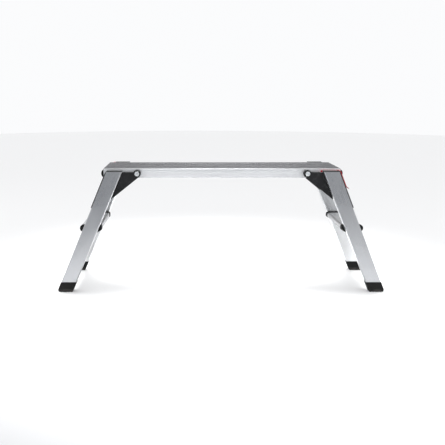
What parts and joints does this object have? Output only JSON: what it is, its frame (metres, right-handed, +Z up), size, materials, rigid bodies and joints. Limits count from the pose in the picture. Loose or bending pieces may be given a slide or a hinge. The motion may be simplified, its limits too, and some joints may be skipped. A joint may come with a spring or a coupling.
{
  "type": "folding work platform",
  "caption": "Low folding work platform with a ribbed grey aluminium deck, silver side rails, raked folding leg frames with steps, black hinge brackets, rubber feet and red levers.",
  "frame": {"origin": "On the floor under the middle of the deck", "axes": "+X along the deck to the right-hand end, +Y across the deck to the far side, +Z up; the row is centred on X and Y"},
  "size_m": [1.3338, 0.301, 0.5],
  "materials": {
    "rail_aluminium": "pale silver anodised extrusion, fine lines along its length",
    "leg_aluminium": "silver anodised extrusion, satin",
    "deck_aluminium": "ribbed extrusion, dull grey, worn bright on the rib tops",
    "tread_aluminium": "ribbed extrusion, satin",
    "mill_aluminium": "as extruded, unpolished",
    "black_plastic": "fine moulded grain",
    "black_rubber": "matt, faintly dusty",
    "zinc_steel": "bright zinc plate",
    "spring_steel": "drawn wire, oiled",
    "black_steel": "satin black powder coat",
    "red_steel": "gloss red powder coat",
    "nylon": "natural nylon, waxy"
  },
  "bodies": {
    "platform": {"near_side_rail": "rail_aluminium", "far_side_rail": "rail_aluminium", "near_deck_plank": "deck_aluminium", "middle_deck_plank": "deck_aluminium", "far_deck_plank": "deck_aluminium", "left_end_cross_member": "mill_aluminium", "left_inner_cross_member": "mill_aluminium", "centre_cross_member": "mill_aluminium", "right_inner_cross_member": "mill_aluminium", "right_end_cross_member": "mill_aluminium", "cross_member_rivets": "zinc_steel", "right_deck_end_cap": "black_plastic", "left_deck_end_cap": "black_plastic", "pivot_bolts": "zinc_steel", "pivot_nuts": "zinc_steel", "pivot_thrust_washers": "zinc_steel", "lock_strikers": "zinc_steel"},
    "right_leg_frame": {"right_near_leg": "leg_aluminium", "right_near_foot": "black_rubber", "right_near_leg_cap": "black_plastic", "right_near_hinge_bracket": "black_plastic", "right_near_tread_cap": "black_plastic", "right_far_leg": "leg_aluminium", "right_far_foot": "black_rubber", "right_far_leg_cap": "black_plastic", "right_far_hinge_bracket": "black_plastic", "right_far_tread_cap": "black_plastic", "right_tread": "tread_aluminium", "right_brace_panel": "black_steel", "right_lock_spring": "spring_steel", "right_pivot_bushes": "nylon", "right_bracket_rivets": "zinc_steel", "right_tread_screws": "zinc_steel", "right_brace_rivets": "zinc_steel", "right_lock_guide_pins": "zinc_steel", "right_stop_pads": "black_rubber"},
    "left_leg_frame": {"left_near_leg": "leg_aluminium", "left_near_foot": "black_rubber", "left_near_leg_cap": "black_plastic", "left_near_hinge_bracket": "black_plastic", "left_near_tread_cap": "black_plastic", "left_far_leg": "leg_aluminium", "left_far_foot": "black_rubber", "left_far_leg_cap": "black_plastic", "left_far_hinge_bracket": "black_plastic", "left_far_tread_cap": "black_plastic", "left_tread": "tread_aluminium", "left_brace_panel": "black_steel", "left_lock_spring": "spring_steel", "left_pivot_bushes": "nylon", "left_bracket_rivets": "zinc_steel", "left_tread_screws": "zinc_steel", "left_brace_rivets": "zinc_steel", "left_lock_guide_pins": "zinc_steel", "left_stop_pads": "black_rubber"},
    "right_lock_lever_body": {"right_lock_lever": "red_steel"},
    "left_lock_lever_body": {"left_lock_lever": "red_steel"}
  },
  "joints": [
    {"name": "right_leg_fold", "type": "hinge", "parent": "platform", "child": "right_leg_frame", "pos_m": [0.336, 0, 0.482], "axis": [0, 1, 0], "range_deg": [0, 118]},
    {"name": "left_leg_fold", "type": "hinge", "parent": "platform", "child": "left_leg_frame", "pos_m": [-0.336, 0, 0.482], "axis": [0, -1, 0], "range_deg": [0, 103]},
    {"name": "right_lock_release", "type": "slide", "parent": "right_leg_frame", "child": "right_lock_lever_body", "axis": [1, 0, 0], "range_m": [0, 0.008], "stiffness_N_per_m": 500, "springref_m": -0.006, "deforming": ["right_lock_spring"]},
    {"name": "left_lock_release", "type": "slide", "parent": "left_leg_frame", "child": "left_lock_lever_body", "axis": [-1, 0, 0], "range_m": [0, 0.008], "stiffness_N_per_m": 500, "springref_m": -0.006, "deforming": ["left_lock_spring"]}
  ]
}
